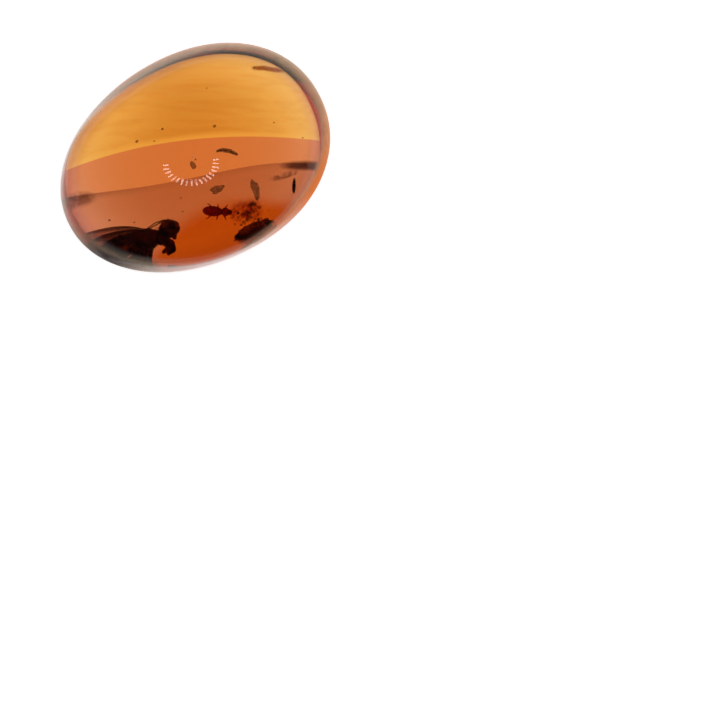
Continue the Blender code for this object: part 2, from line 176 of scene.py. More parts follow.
class Value:
    """A number in a shader tree; sums on it add Math nodes."""

    def __init__(self, look, socket):
        self.look = look
        self.socket = socket

    def _sum(self, operation, first, second):
        node = self.look.node("ShaderNodeMath", {"operation": operation}, {0: first, 1: second})
        return Value(self.look, node.outputs[0])

    def __add__(self, other):
        return self._sum("ADD", self, other)

    def __radd__(self, other):
        return self._sum("ADD", other, self)

    def __sub__(self, other):
        return self._sum("SUBTRACT", self, other)

    def __rsub__(self, other):
        return self._sum("SUBTRACT", other, self)

    def __mul__(self, other):
        return self._sum("MULTIPLY", self, other)

    def __rmul__(self, other):
        return self._sum("MULTIPLY", other, self)

    def __truediv__(self, other):
        return self._sum("DIVIDE", self, other)

    def least(self, other):
        return self._sum("MINIMUM", self, other)

    def steps(self, low, high):
        """0 below `low`, 1 above `high`, smooth between."""
        node = self.look.node("ShaderNodeMapRange", {"interpolation_type": "SMOOTHSTEP"},
                              {"Value": self, "From Min": low, "From Max": high})
        return Value(self.look, node.outputs[0])


class Look:
    """One material and its shader tree."""

    def __init__(self, name):
        self.material = bpy.data.materials.new(name)
        self.material.use_nodes = True
        self.tree = self.material.node_tree
        self.tree.nodes.clear()
        self.output = self.node("ShaderNodeOutputMaterial")

    def node(self, kind, settings=None, inputs=None):
        """A node of that kind: its settings first, then the value or link of each socket."""
        node = self.tree.nodes.new(kind)
        for key, value in (settings or {}).items():
            setattr(node, key, value)
        for key, value in (inputs or {}).items():
            self.join(value, node.inputs[key])
        return node

    def join(self, value, socket):
        """Link a node, socket or Value to a socket, or set a constant on it."""
        if isinstance(value, Value):
            value = value.socket
        if isinstance(value, bpy.types.Node):
            value = value.outputs[0]
        if isinstance(value, bpy.types.NodeSocket):
            self.tree.links.new(value, socket)
        elif isinstance(value, tuple) and socket.type == "RGBA" and len(value) == 3:
            socket.default_value = (*value, 1.0)
        else:
            socket.default_value = value

    def place(self, stretch=(1.0, 1.0, 1.0), turn=0.0):
        """Object coordinates, turned about Z, in which a pattern is stretched along the turned axes."""
        where = self.node("ShaderNodeTexCoord").outputs["Object"]
        mapping = {"Vector": where, "Rotation": (0.0, 0.0, turn), "Scale": stretch}
        return self.node("ShaderNodeMapping", {"vector_type": "TEXTURE"}, mapping).outputs[0]

    def noise(self, size, detail=3.0, rough=0.5, where=None):
        """Cloudy noise whose lumps are about `size` across."""
        inputs = {"Vector": where or self.place(), "Scale": 1.0 / size, "Detail": detail,
                  "Roughness": rough}
        return Value(self, self.node("ShaderNodeTexNoise", None, inputs).outputs["Fac"])

    def cells(self, size, where=None):
        """Distance to the nearest of scattered points about `size` apart, as a share of it."""
        inputs = {"Vector": where or self.place(), "Scale": 1.0 / size}
        return Value(self, self.node("ShaderNodeTexVoronoi", None, inputs).outputs["Distance"])

    def given(self, name):
        """A number that the mesh holds at each point."""
        node = self.node("ShaderNodeAttribute", {"attribute_name": name})
        return Value(self, node.outputs["Fac"])

    def blend(self, share, first, second):
        """A colour between two others."""
        node = self.node("ShaderNodeMix", {"data_type": "RGBA"})
        for index, value in ((0, share), (6, first), (7, second)):
            self.join(value, node.inputs[index])
        return node.outputs[2]

    def bump(self, height, distance, strength=0.5):
        """Low relief from a height that runs from 0 to 1."""
        inputs = {"Height": height, "Distance": distance, "Strength": strength}
        return self.node("ShaderNodeBump", None, inputs).outputs[0]

    def solid(self, **sockets):
        """The standard surface, with socket names written with _ for a space."""
        inputs = {name.replace("_", " "): value for name, value in sockets.items()}
        return self.node("ShaderNodeBsdfPrincipled", None, inputs)

    def mix(self, share, first, second):
        """One surface through another."""
        return self.node("ShaderNodeMixShader", None, {0: share, 1: first, 2: second})

    def clear(self, colour=(1.0, 1.0, 1.0)):
        """A surface that light passes, tinted."""
        return self.node("ShaderNodeBsdfTransparent", None, {"Color": colour})

    def finish(self, surface, volume=None):
        """Send the surface to the output and give the material back."""
        self.join(surface, self.output.inputs["Surface"])
        if volume:
            self.join(volume, self.output.inputs["Volume"])
        return self.material


def amber_look():
    """Clear honey amber, polished and faintly wavy, redder at its rim, with a thin matt layer of painted
    colour, painted shade and painted glow on its rim.
    """
    look = Look("amber")
    wave = look.noise(1.6 * MM, detail=2.0)
    cloud = look.noise(0.8 * MM, detail=3.0)
    reddening = look.blend(look.given("blush"), (1.0, 1.0, 1.0), BLUSH)
    glass = look.solid(Base_Color=reddening, Roughness=0.0, IOR=AMBER_INDEX, Transmission_Weight=1.0,
                       Normal=look.bump(wave, 0.004 * MM, 0.3))
    # The matt layer is painted light: grey-brown colour round the rim, painted shade at the near left and a
    # painted orange glow at the near right, laid over the glass where it would show reflection.
    dusk, ember = look.given("dusk"), look.given("ember")
    painted_rim_colour = look.blend(dusk, look.blend(ember, PAINTED_RIM, PAINTED_GLOW), PAINTED_SHADE)
    painted_rim_surface = look.solid(Base_Color=painted_rim_colour, Roughness=0.8, Specular_IOR_Level=0.0)
    body = look.node("ShaderNodeVolumeAbsorption", None, {"Color": AMBER, "Density": 1000.0})
    cover = look.given("rind") + PAINTED_SHADE_COVER * dusk + PAINTED_GLOW_COVER * ember
    cover = cover * (PAINTED_RIM_MOTTLE[0] + PAINTED_RIM_MOTTLE[1] * cloud)
    return look.finish(look.mix(cover.least(PAINTED_RIM_MOST), glass, painted_rim_surface), body)


def chitin_look():
    """Near-black brown skin, pitted, with thin places that are redder."""
    look = Look("chitin")
    patch = look.noise(0.35 * MM, detail=4.0)
    pits = look.cells(0.05 * MM)
    colour = look.blend(patch.steps(0.42, 0.68), (0.075, 0.034, 0.024), (0.230, 0.085, 0.042))
    skin = look.solid(Base_Color=colour, Roughness=0.35 + 0.25 * patch, IOR=1.56,
                      Normal=look.bump(pits, 0.008 * MM, 0.6))
    cover = 0.97 - 0.50 * patch.steps(0.42, 0.72)
    return look.finish(look.mix(cover, look.clear((0.66, 0.35, 0.18)), skin))


def eye_look():
    """Dark garnet eyes, in fine facets."""
    look = Look("eye")
    facets = look.cells(0.025 * MM)
    colour = look.blend(facets, (0.045, 0.008, 0.005), (0.010, 0.003, 0.003))
    return look.finish(look.solid(Base_Color=colour, Roughness=0.18 + 0.10 * facets,
                                  Normal=look.bump(facets, 0.005 * MM, 0.7)))


def wing_look():
    """Smoky wing skin: lighter between the veins, darker along them and towards the root."""
    look = Look("wing")
    share, side = look.given("share"), look.given("side")
    cloud = look.noise(0.30 * MM, detail=3.0)
    lines = look.node("ShaderNodeMath", {"operation": "PINGPONG"}, {0: side * 4.0 + share * 1.2, 1: 0.5})
    vein = 1.0 - Value(look, lines.outputs[0]).steps(0.03, 0.12)
    band = side.steps(0.62, 0.92)
    cover = (0.12 + 0.12 * cloud + 0.20 * vein + 0.10 * (1.0 - share) + 0.34 * band).least(0.96)
    colour = look.blend(vein, (0.170, 0.130, 0.105), (0.045, 0.028, 0.020))
    skin = look.solid(Base_Color=colour, Roughness=0.35 + 0.15 * cloud)
    return look.finish(look.mix(cover, look.clear((0.76, 0.64, 0.62)), skin))


def wing_case_look():
    """Polished red-brown wing cases with fine rows of punctures, which let a little red light through."""
    look = Look("wing_case")
    cloud = look.noise(0.30 * MM, detail=3.0)
    pits = look.cells(0.06 * MM)
    colour = look.blend(cloud.steps(0.40, 0.65), (0.090, 0.010, 0.003), (0.300, 0.040, 0.010))
    shell = look.solid(Base_Color=colour, Roughness=0.10 + 0.15 * cloud, IOR=1.56, Coat_Weight=0.4,
                       Normal=look.bump(pits, 0.006 * MM, 0.5))
    return look.finish(look.mix(0.80 - 0.50 * cloud, look.clear((0.80, 0.20, 0.06)), shell))


def bark_look():
    """Rotten bark: dark red-brown crumbs in flakes and hollows."""
    look = Look("bark")
    grain = look.noise(0.12 * MM, detail=6.0, rough=0.65)
    flakes = look.cells(0.10 * MM)
    colour = look.blend(grain.steps(0.35, 0.70), (0.050, 0.022, 0.004), (0.230, 0.100, 0.018))
    lump = look.solid(Base_Color=colour, Roughness=0.65 + 0.25 * flakes,
                      Normal=look.bump(grain + 0.5 * flakes, 0.03 * MM, 0.8))
    cover = 0.22 + 0.44 * grain.steps(0.44, 0.64)
    return look.finish(look.mix(cover, look.clear((0.60, 0.44, 0.22)), lump))


def soft_look(name, dark, light, cover, ragged):
    """Felted dust or fibre, with thick and thin places all over it."""
    look = Look(name)
    clump = look.noise(0.09 * MM, detail=5.0, rough=0.6)
    colour = look.blend(clump.steps(0.35, 0.65), dark, light)
    solid = look.solid(Base_Color=colour, Roughness=0.70 + 0.20 * clump,
                       Normal=look.bump(clump, 0.02 * MM, 0.6))
    share = cover * (1.0 - (0.2 + ragged * (clump - 0.5)).steps(0.0, 0.50))
    return look.finish(look.mix(share, look.clear(), solid))


def cloud_look(name, colour, cover, least=0.38, most=0.66):
    """A thin tinted sheet in the resin, used for stains and for painted shade, in soft patches that fade out
    at its edge.
    """
    look = Look(name)
    patch = look.noise(0.35 * MM, detail=5.0, rough=0.6)
    share = cover * patch.steps(least, most) * (1.0 - look.given("edge").steps(0.35, 1.0))
    return look.finish(look.mix(share, look.clear(), look.clear(colour)))


def flow_look(name, tint, haze, haze_share, streak=0.0, deep=None, end_tint=None):
    """The joint between two flows of resin: it tints what lies under it, and is milky in wisps.

    The mesh holds `away`, the distance from the sheet's edge, `end`, the share of the way to the
    stone's ends, and `deep`, how far inside the deep orange patch a point is.  The milk thins out
    with distance and in the patch; `streak` darkens a line along the edge, most towards the ends.
    """
    look = Look(name)
    reach, end = look.given("away") / MM, look.given("end")
    patch = look.given("deep").steps(-0.3, 0.9)
    wisps = look.noise(0.5 * MM, detail=4.0, where=look.place((5.0, 1.0, 1.0), -VIEW_TURN))
    milk = haze_share * (0.35 + 1.3 * wisps) * (1.0 - reach.steps(0.0, 4.5))
    milk = milk * (0.35 + 0.65 * end) * (1.0 - patch)
    tinted = look.clear(tint)
    if end_tint:
        tinted = look.mix(end, tinted, look.clear(end_tint))
    tinted = look.mix(reach.steps(0.0, 0.05), look.clear(), tinted)
    if deep:
        tinted = look.mix(patch, tinted, look.clear(deep))
    surface = look.mix(milk, tinted, look.solid(Base_Color=haze, Roughness=0.9))
    if streak:
        line = streak * (0.15 + 0.85 * end) * (1.0 - reach.steps(0.04, 0.50)) * reach.steps(0.0, 0.05)
        surface = look.mix(line, surface, look.clear((0.22, 0.17, 0.17)))
    return look.finish(surface)


def stripe_look():
    """Faint browner stripes in the yellow flow, along its run, stronger towards its middle."""
    look = Look("flow_stripes")
    stripes = look.noise(0.42 * MM, detail=3.0, where=look.place((9.0, 1.0, 1.0), -VIEW_TURN))
    share = 0.16 + 0.64 * look.given("middle") + 0.24 * stripes.steps(0.40, 0.68)
    share = share * look.given("away").steps(0.0, 0.4 * MM)
    return look.finish(look.mix(share.least(1.0), look.clear(), look.clear((0.78, 0.66, 0.52))))


def floor_look():
    """Plain matt white board."""
    look = Look("floor")
    grain = look.noise(2.0 * MM, detail=2.0)
    white = look.blend(grain, (0.89, 0.89, 0.89), (0.91, 0.91, 0.91))
    return look.finish(look.solid(Base_Color=white, Roughness=0.8, Emission_Color=(1.0, 1.0, 1.0),
                                  Emission_Strength=FLOOR_GLOW))


# ---------------------------------------------------------------- meshes

class Skin:
    """Points and faces gathered for one piece, with named numbers at each point."""

    def __init__(self):
        self.points, self.faces, self.numbers, self.count = [], [], {}, 0

    def add(self, grid, closed=True, ends=None, **numbers):
        """A grid of rows by columns; `closed` joins its last column to its first, `ends` closes it."""
        rows, columns = grid.shape[:2]
        here = np.arange(columns if closed else columns - 1)
        following = (here + 1) % columns
        row = np.arange(rows - 1)[:, None] * columns
        quads = np.stack([row + here, row + columns + here, row + columns + following, row + following], -1)
        self.faces += (quads.reshape(-1, 4) + self.count).tolist()
        points = grid.reshape(-1, 3)
        for key, value in numbers.items():
            values = np.broadcast_to(value, (rows, columns)).reshape(-1)
            if ends is not None:
                values = np.append(values, [values[:columns].mean(), values[-columns:].mean()])
            self.numbers.setdefault(key, []).append(values)
        if ends is not None:
            first, last, bottom = rows * columns, rows * columns + 1, (rows - 1) * columns
            points = np.concatenate([points, np.asarray(ends, dtype=float)])
            caps = [(first, a, b) for a, b in zip(here, following)]
            caps += [(last, bottom + b, bottom + a) for a, b in zip(here, following)]
            self.faces += (np.array(caps) + self.count).tolist()
        self.points.append(points)
        self.count += len(points)

    def piece(self, name, material, slot, nodes=(), move=None):
        """The finished object, riding on the stone."""
        mesh = bpy.data.meshes.new(name)
        points = np.concatenate(self.points)
        mesh.from_pydata(points.tolist(), [], self.faces)
        if move is not None:
            mesh.transform(move)
        for key, values in self.numbers.items():
            layer = mesh.attributes.new(key, "FLOAT", "POINT")
            layer.data.foreach_set("value", np.concatenate(values).astype(np.float32))
        model = bmesh.new()
        model.from_mesh(mesh)
        bmesh.ops.recalc_face_normals(model, faces=model.faces)
        model.to_mesh(mesh)
        model.free()
        mesh.materials.append(material)
        mesh.shade_smooth()
        obj = bpy.data.objects.new(name, mesh)
        bpy.context.scene.collection.objects.link(obj)
        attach(obj, "root")
        if nodes:
            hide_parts(*nodes)
        return obj


def in_mm(values):
    """Numbers given in millimetres, in metres."""
    return tuple(value * MM for value in values)


def waves(share, around, along, shift=0.0):
    """A ball's roughness: 1 plus a share of the sine of its two angles, each times a whole number."""
    def rough(tilt, turn):
        return 1 + share * np.sin(around * turn + along * tilt + shift)
    return rough


def ball(skin, centre, radii, columns=24, rows=16, rough=None, **numbers):
    """An ellipsoid: cosine and sine of two angles times three radii, with its poles along its first.

    `rough` gives the share by which the surface swells at each pair of angles.
    """
    turn = np.linspace(0, 2 * pi, columns, endpoint=False)[None, :]
    tilt = np.linspace(0, pi, rows + 1)[1:-1, None]
    swell = 1.0 if rough is None else rough(tilt, turn)
    grid = np.stack([radii[0] * np.cos(tilt) * swell + 0 * turn,
                     radii[1] * np.sin(tilt) * np.cos(turn) * swell,
                     radii[2] * np.sin(tilt) * np.sin(turn) * swell], -1) + np.array(centre)
    ends = [(centre[0] + radii[0], centre[1], centre[2]), (centre[0] - radii[0], centre[1], centre[2])]
    skin.add(grid, ends=ends, **numbers)


def hose(skin, path, radii, sides=10, **numbers):
    """A tube: a circle of the given radius round each point of a path, square to the path there."""
    path = np.asarray(path, dtype=float)
    radii = np.broadcast_to(radii, len(path))
    along = np.gradient(path, axis=0)
    along /= np.linalg.norm(along, axis=1, keepdims=True)
    side = np.cross(along, (0.13, 0.21, 0.97))
    side /= np.linalg.norm(side, axis=1, keepdims=True)
    rise = np.cross(side, along)
    turn = np.linspace(0, 2 * pi, sides, endpoint=False)[None, :, None]
    circle = np.cos(turn) * side[:, None] + np.sin(turn) * rise[:, None]
    grid = path[:, None] + radii[:, None, None] * circle
    ends = [path[0] - along[0] * radii[0] * 0.6, path[-1] + along[-1] * radii[-1] * 0.6]
    skin.add(grid, ends=ends, **numbers)


def bent(points, count, soft=3):
    """Evenly spaced points along a line through the given ones, with its corners rounded."""
    points = np.asarray(points, dtype=float)
    steps = np.append(0, np.cumsum(np.linalg.norm(np.diff(points, axis=0), axis=1)))
    where = np.linspace(0, steps[-1], count)
    line = np.stack([np.interp(where, steps, points[:, axis]) for axis in range(points.shape[1])], -1)
    for _ in range(soft):
        line[1:-1] = (line[:-2] + 2 * line[1:-1] + line[2:]) / 4
    return line


def place(centre, heading, pitch=0.0):
    """The matrix that takes a piece's own forward, across and upward to the stone's frame."""
    return Matrix.Translation(centre) @ Matrix.Rotation(heading, 4, "Z") @ Matrix.Rotation(pitch, 4, "Y")


# ---------------------------------------------------------------- the stone

def by_direction(turn, sizes):
    """A size that passes smoothly through the four given at 0, 90, 180 and 270 degrees."""
    right, far, left, near = sizes
    across, along = np.sin(turn), np.cos(turn)
    return (right * np.clip(along, 0, 1) ** 2 + left * np.clip(-along, 0, 1) ** 2
            + far * np.clip(across, 0, 1) ** 2 + near * np.clip(-across, 0, 1) ** 2)


def round_about(turn, centre, spread):
    """1 at one direction, falling off to either side as a bell over the circle."""
    return np.exp(2 * (np.cos(turn - centre) - 1) / spread ** 2)


def oval(turn):
    """The stone's outline: a slightly squared ellipse that leans towards an egg."""
    reach = np.abs(np.cos(turn)) ** OVAL_POWER + np.abs(np.sin(turn)) ** OVAL_POWER
    reach = reach ** (-1 / OVAL_POWER)
    reach = reach * (1 - OVAL_EGG[0] * np.cos(3 * turn) - OVAL_EGG[1] * np.sin(3 * turn))
    return LENGTH / 2 * np.cos(turn) * reach, WIDTH / 2 * np.sin(turn) * reach


def less_at_corner(turn):
    """1 all round but less at the far left, where the stone's edge is fuller."""
    middle, spread, less = FLAT_CORNER
    return 1 - less * np.exp(-((turn - middle) / spread) ** 2)


def underside(turn, across):
    """Height of the underside at a share of the way to the outline: a power of it, less the flat."""
    rise = by_direction(turn, BASE_RISE) * less_at_corner(turn)
    return rise * np.clip(across ** RISE_POWER - FLAT_SHARE ** RISE_POWER, 0, None)


def stone_distance(turn, out, up):
    """How far the surface is from the core, in the direction `out` along `turn` and `up`.

    Dome, wall, bevel and underside lie at four distances.  The surface is their soft least: the sum
    of their inverses, each to a power, taken to one over that power, and inverted.
    """
    x_out, y_out = oval(turn)
    reach = np.hypot(x_out, y_out)
    power = by_direction(turn, EDGE_CRISPNESS)
    curve = np.maximum(out, 1e-4) ** 2 / (2 * DOME_RADIUS)
    dome = (np.sqrt(up ** 2 + 4 * curve * (HEIGHT - CORE_HEIGHT)) - up) / (2 * curve)
    lean = by_direction(turn, WALL_LEAN) * less_at_corner(turn)
    cut = by_direction(turn, BEVEL_LEAN)
    above = CORE_HEIGHT - np.maximum(GIRDLE_HEIGHT, underside(turn, 1.0))
    per_wall = np.clip((out + lean * up) / (reach - lean * above), 0, None)
    per_bevel = np.clip((out - cut * up) / (reach + cut * above), 0, None)
    per_base = np.clip(-up / CORE_HEIGHT, 0, None)
    total = sum((MM * inverse) ** power for inverse in (1 / dome, per_wall, per_bevel, per_base))
    return MM * total ** (-1 / power)


def stone_grid():
    """Points of the stone from just under its top to the middle of its underside, before centring."""
    turn = np.linspace(0, 2 * pi, STONE_COLUMNS, endpoint=False)[None, :]
    share = np.linspace(1, -1, STONE_ROWS + 2)[1:-1, None]
    climb = np.sign(share) * np.abs(share) ** 2.2 * pi / 2 + 0 * turn
    distance = stone_distance(turn, np.cos(climb), np.sin(climb))
    x_out, y_out = oval(turn)
    across = distance * np.cos(climb) / np.hypot(x_out, y_out)
    height = np.maximum(CORE_HEIGHT + distance * np.sin(climb) - FLAT_DEPTH, underside(turn, across))
    return np.stack([across * x_out, across * y_out, height], -1)


RAW_STONE = stone_grid()
RAW_LOW, RAW_HIGH = RAW_STONE.min((0, 1)), RAW_STONE.max((0, 1))
CENTRING = np.array([(RAW_LOW[0] + RAW_HIGH[0]) / 2, (RAW_LOW[1] + RAW_HIGH[1]) / 2, 0.0])
STRETCH = np.array([LENGTH, WIDTH, HEIGHT]) / np.array([*(RAW_HIGH - RAW_LOW)[:2], HEIGHT])


def keep_inside(points, margin):
    """Points drawn straight towards the core until they lie `margin` under the surface."""
    raw = points / STRETCH + CENTRING
    across = np.hypot(raw[..., 0], raw[..., 1])
    rise = raw[..., 2] - CORE_HEIGHT
    length = np.hypot(across, rise) + 1e-9
    turn = np.arctan2(raw[..., 1] / WIDTH, raw[..., 0] / LENGTH)
    limit = stone_distance(turn, across / length, rise / length) - margin
    share = np.minimum(1, limit / length)[..., None]
    core = np.array([0, 0, CORE_HEIGHT])
    return ((raw - core) * share + core - CENTRING) * STRETCH


def under_the_skin(x, y, depth):
    """Points at a plan position, `depth` under the dome or the wall, whichever lies there.

    The climb seen from the core is halved in on thirty times, because the stone's half width falls
    steadily from its widest ring to its top.
    """
    raw_x, raw_y = x / STRETCH[0] + CENTRING[0], y / STRETCH[1] + CENTRING[1]
    turn = np.arctan2(raw_y / WIDTH, raw_x / LENGTH)
    along, across = oval(turn)
    reach = np.hypot(raw_x, raw_y)
    lowest = np.maximum(GIRDLE_HEIGHT, underside(turn, 1.0)) + 0.05 * MM - CORE_HEIGHT
    lowest = np.arctan2(lowest, np.hypot(along, across))
    widest = (stone_distance(turn, np.cos(lowest), np.sin(lowest)) - depth) * np.cos(lowest) * 0.998
    squeeze = np.minimum(1, widest / np.maximum(reach, 1e-6))
    reach = reach * squeeze
    low, high = lowest, np.full(reach.shape, pi / 2)
    for _ in range(30):
        climb = (low + high) / 2
        wide = (stone_distance(turn, np.cos(climb), np.sin(climb)) - depth) * np.cos(climb) > reach
        low, high = np.where(wide, climb, low), np.where(wide, high, climb)
    distance = stone_distance(turn, np.cos(climb), np.sin(climb)) - depth
    height = CORE_HEIGHT + distance * np.sin(climb)
    return np.stack([(raw_x * squeeze - CENTRING[0]) * STRETCH[0],
                     (raw_y * squeeze - CENTRING[1]) * STRETCH[1], height * STRETCH[2]], -1)


def fade(share):
    """1 up to a third of the way, then smoothly down to 0 at the whole of it."""
    rest = np.clip((1 - share) * 1.5, 0, 1)
    return rest ** 2 * (3 - 2 * rest)


def make_stone():
    """The whole clear stone, in place of its two halves."""
    skin = Skin()
    top = np.array([0, 0, HEIGHT])
    grid = (RAW_STONE - CENTRING) * STRETCH
    turn = np.linspace(0, 2 * pi, STONE_COLUMNS, endpoint=False)[None, :]
    out = np.hypot(RAW_STONE[..., 0], RAW_STONE[..., 1])
    above = np.arange(STONE_ROWS)[:, None] <= out.argmax(0)[None, :]
    depth = out.max(0)[None, :] - out
    # The numbers held at each point place the blush and the painted rim colour, painted shade and painted
    # glow.
    skin.add(grid, ends=[top, np.zeros(3)],
             rind=above * fade(depth / PAINTED_RIM_WIDTH) * by_direction(turn, PAINTED_RIM_COVER),
             dusk=above * fade(depth / PAINTED_SHADE_WIDTH) * round_about(turn, PAINTED_SHADE_TURN, PAINTED_SHADE_SPREAD),
             ember=above * fade(depth / PAINTED_GLOW_WIDTH) * round_about(turn, PAINTED_GLOW_TURN, PAINTED_GLOW_SPREAD),
             blush=above * fade(depth / BLUSH_WIDTH) * by_direction(turn, BLUSH_SHARE))
    return skin.piece("amber_stone", amber_look(), "amber", ("amber_upper", "amber_lower"))


# ---------------------------------------------------------------- the flows of resin

def first_edge(x):
    """Where the yellow flow ends."""
    x = x / MM - 0.09
    return (1.05 - 0.385 * x - 0.020 * x ** 2) * MM


def second_edge(x):
    """Where the muddier flow begins."""
    x = x / MM - 0.09
    return (-1.14 - 0.278 * x + 0.0047 * x ** 2 - 0.0028 * x ** 3 - 0.0003 * x ** 4) * MM


def deep_edge(x):
    """Upper edge of the deep orange patch: a shallow arch over the near side."""
    x = x / MM + 1.2
    return (-2.55 - 0.085 * x ** 2) * MM


def make_flow(name, edge, dip, reach, material, way=-1):
    """One joint between flows: a sheet that comes to the surface along a line and dips from there.

    It runs towards the near side, or the far side where `way` is 1.  Its depth under the skin is a
    little at the edge line and grows by `dip` times the distance from that line, to a limit.
    """
    columns, rows = 260, 140
    x = np.linspace(-LENGTH / 2, LENGTH / 2, columns)[:, None]
    away = np.linspace(0, 1, rows)[None, :] ** 1.4 * reach
    y = edge(x) + way * away
    skin = Skin()
    depth = SHALLOWEST + DEEPEST * (1 - np.exp(-dip * away / DEEPEST))
    skin.add(under_the_skin(x + 0 * away, y, depth), closed=False, away=away + 0 * x,
             end=np.clip(np.abs(x) / (LENGTH / 2), 0, 1) ** 3 + 0 * away, deep=(deep_edge(x) - y) / MM,
             middle=np.exp(-((x / MM - 0.8) / 3.2) ** 2) + 0 * away)
    return skin.piece(name, material, "amber")


def make_flows():
    """Two joints between flows, the second with the deep orange patch, and the yellow flow's stripes."""
    make_flow("flow_orange", first_edge, 0.10, 9.5 * MM,
              flow_look("flow_orange", (0.82, 0.53, 0.86), (0.80, 0.50, 0.40), 0.09))
    make_flow("flow_brown", second_edge, 0.06, 7.5 * MM,
              flow_look("flow_brown", (0.72, 0.62, 0.72), (0.70, 0.42, 0.34), 0.08, streak=0.85,
                        deep=(0.68, 0.30, 0.04), end_tint=(0.99, 0.97, 1.00)))
    make_flow("flow_stripes", first_edge, 0.05, 8.0 * MM, stripe_look(), way=1)


# ---------------------------------------------------------------- the insect

def insect_abdomen(skin):
    """Six overlapping rings: a taper times a saw tooth that flares at each ring's hind edge."""
    share = np.linspace(0, 0.97, 73)[:, None]
    turn = np.linspace(0, 2 * pi, 40, endpoint=False)[None, :]
    taper = 0.58 * MM * np.sqrt(np.clip(1 - (share - 0.25) ** 2 / 0.62, 0.03, 1))
    tooth = (share * 6) % 1.0
    radius = taper * (0.93 + 0.10 * tooth ** 1.5 - 0.03 * (tooth > 0.93))
    ridge = 1 + 0.02 * np.cos(2 * turn) + 0.010 * np.sin(9 * turn + 14 * share)
    back = 0.20 * MM * share ** 2
    grid = np.stack([-0.40 * MM - share * 2.30 * MM + 0 * turn, back + radius * ridge * np.cos(turn),
                     0.88 * radius * ridge * np.sin(turn)], -1)
    skin.add(grid, ends=[(-0.30 * MM, 0, 0), (-2.70 * MM, 0.20 * MM, 0)])


def insect_leg(skin, side, joints, thickness):
    """Hip, thigh, shin and jointed foot along a bent line, with spines down the shin."""
    points = np.array([(f - 0.13 * side, u + 0.04 * side, side * s) for f, u, s in joints]) * MM
    line = bent(points, 60, 4)
    share = np.linspace(0, 1, 60)
    thigh = np.exp(-((share - 0.17) / 0.16) ** 2)
    foot = np.clip((share - 0.72) / 0.28, 0, 1)
    radius = thickness * MM * (0.62 + 0.50 * thigh - 0.24 * foot + 0.05 * foot * np.sin(share * 95))
    hose(skin, line, radius, 10)
    for k, at in enumerate(np.linspace(0.34, 0.80, 7)):
        spot = line[int(at * 59)]
        lean = np.array([-0.35, -0.75 if k % 2 else 0.55, 0.35 * side])
        tip = spot + lean / np.linalg.norm(lean) * (0.15 - 0.05 * at) * MM
        hose(skin, [spot, (spot + tip) / 2, tip], in_mm((0.018, 0.012, 0.003)), 5)


def insect_feeler(skin, side):
    """A feeler of eleven beads, swept back over the head."""
    line = bent(np.array([(1.50, 0.44, 0.10 * side), (1.12, 0.64, 0.20 * side),
                          (0.58, 0.60 + 0.04 * side, 0.26 * side), (0.02, 0.46, 0.34 * side)]) * MM, 67, 12)
    share = np.linspace(0, 1, 67)
    hose(skin, line, 0.034 * MM * (1 + 0.22 * np.sin(share * 22 * pi)) * (1.1 - 0.35 * share), 8)


def insect_bristles(skin):
    """Short bristles fanned over the back of the thorax and head, placed by the golden angle."""
    for k in range(BRISTLES):
        turn = k * GOLDEN_ANGLE
        tilt = np.arccos(1 - 2 * (k + 0.5) / BRISTLES)
        away = np.array([cos(tilt), sin(tilt) * cos(turn), sin(tilt) * sin(turn)])
        centre, radii = THORAX_BALL if k % 3 else HEAD_BALL
        root = (np.array(centre) + away * np.array(radii) * 0.97) * MM
        tip = root + (away + np.array([-0.5, 0.1, 0])) * BRISTLE_LENGTH
        hose(skin, [root, (root + tip) / 2 + away * 0.01 * MM, tip], in_mm((0.014, 0.010, 0.003)), 4)


def insect_wing(skin, side, lift, spread):
    """A folded wing: a thin lens whose half width is a power of a sine of its length, a little arched."""
    share = np.linspace(0.0, 1.0, 70)[:, None]
    turn = np.linspace(0, 2 * pi, 44, endpoint=False)[None, :]
    half = WING_HALF_WIDTH * (0.16 + 0.84 * np.sin(pi * share ** 0.75 * 0.93) ** 0.8)
    chord = half * np.cos(turn) - 0.225 * MM * share
    arch = 0.10 * MM * np.sin(pi * share) + 0.012 * MM * np.cos(6 * turn) * np.sin(pi * share)
    grid = np.stack([-share * WING_LENGTH + 0 * turn, chord, 0.014 * MM * np.sin(turn) + arch], -1)
    ends = np.array([(0.06 * MM, 0, 0), (-WING_LENGTH - 0.05 * MM, -0.225 * MM, 0)])
    back, up, out = in_mm(WING_ROOT)
    fold = (Matrix.Translation((back, up, side * out)) @ Matrix.Rotation(lift, 4, "Z")
            @ Matrix.Rotation(spread, 4, "Y"))
    turned = np.array(fold.to_3x3())
    shift = np.array(fold.translation)
    skin.add(grid @ turned.T + shift, ends=ends @ turned.T + shift, share=share + 0 * turn,
             side=0.5 + 0.5 * np.cos(turn) + 0 * share)


